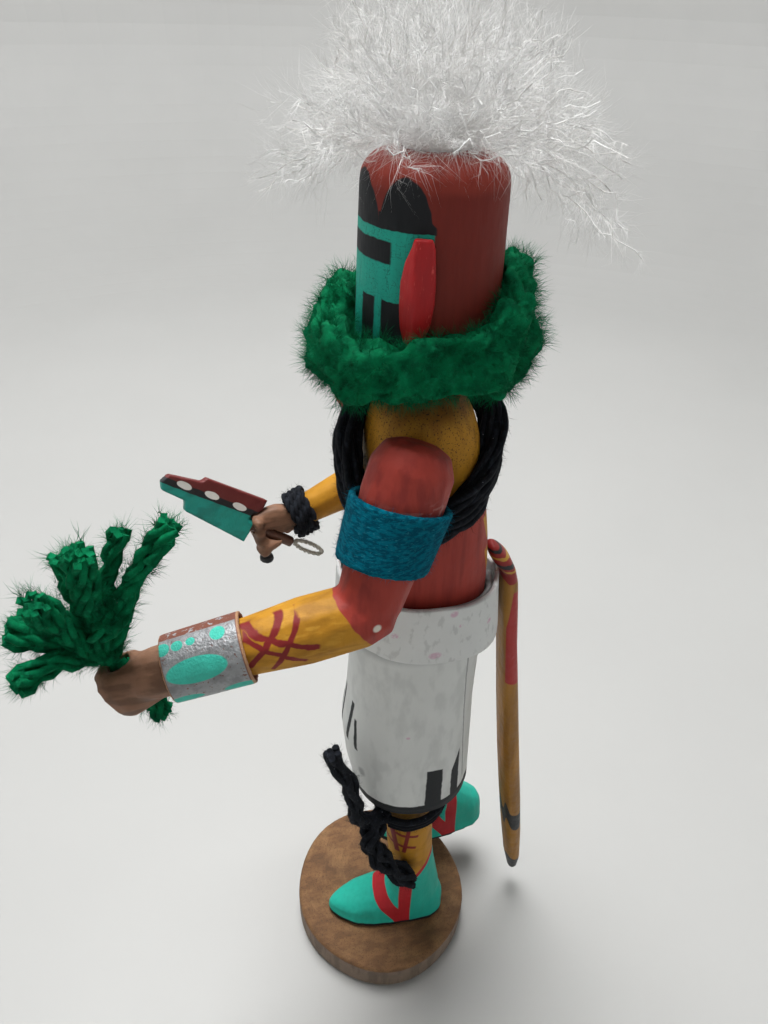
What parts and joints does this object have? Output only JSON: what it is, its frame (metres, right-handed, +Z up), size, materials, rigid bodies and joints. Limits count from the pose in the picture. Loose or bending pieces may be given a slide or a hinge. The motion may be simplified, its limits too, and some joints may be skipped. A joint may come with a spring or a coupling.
{
  "type": "kachina doll",
  "caption": "Carved and painted wooden dancing figure with a cylinder mask, down plume, yarn ruff, kilt and held regalia, standing on a slice of branch.",
  "frame": {"origin": "centre of the underside of the round wooden base", "axes": "+Z up along the standing figure; -Y the way the figure faces; +X towards the figure's left side"},
  "size_m": [0.0608, 0.1096, 0.238],
  "materials": {
    "base_wood": "bare sawn branch wood, matt",
    "painted_wood": "carved wood under matt hand-brushed paint",
    "ear_paint": "red paint with a low gloss",
    "kilt_paint": "thin shaped wood with matt white paint and pink specks",
    "pelt_paint": "carved wood with ochre, red and black paint",
    "wand_paint": "thin carved board with matt turquoise, black and red-brown paint",
    "teal_felt": "napped felt",
    "silvered_leather": "brown leather with a worn silver-painted face",
    "black_yarn": "fuzzy black yarn",
    "green_yarn": "fuzzy green worsted yarn",
    "white_down": "soft white down",
    "pale_thong": "pale rawhide string"
  },
  "bodies": {
    "root": {"base": "base_wood", "figure": "painted_wood", "left_ear": "ear_paint", "right_ear": "ear_paint", "left_arm": "painted_wood", "right_arm": "painted_wood", "left_armband": "teal_felt", "right_armband": "teal_felt", "bow_guard": "silvered_leather", "wristband": "black_yarn", "kilt": "kilt_paint", "belt": "kilt_paint", "fox_pelt": "pelt_paint", "bandolier": "black_yarn", "leg_yarn": "black_yarn", "ruff": "green_yarn", "yarn_bundle": "green_yarn", "plume": "white_down", "wand": "wand_paint", "peg": "wand_paint", "thong": "pale_thong"}
  },
  "joints": []
}
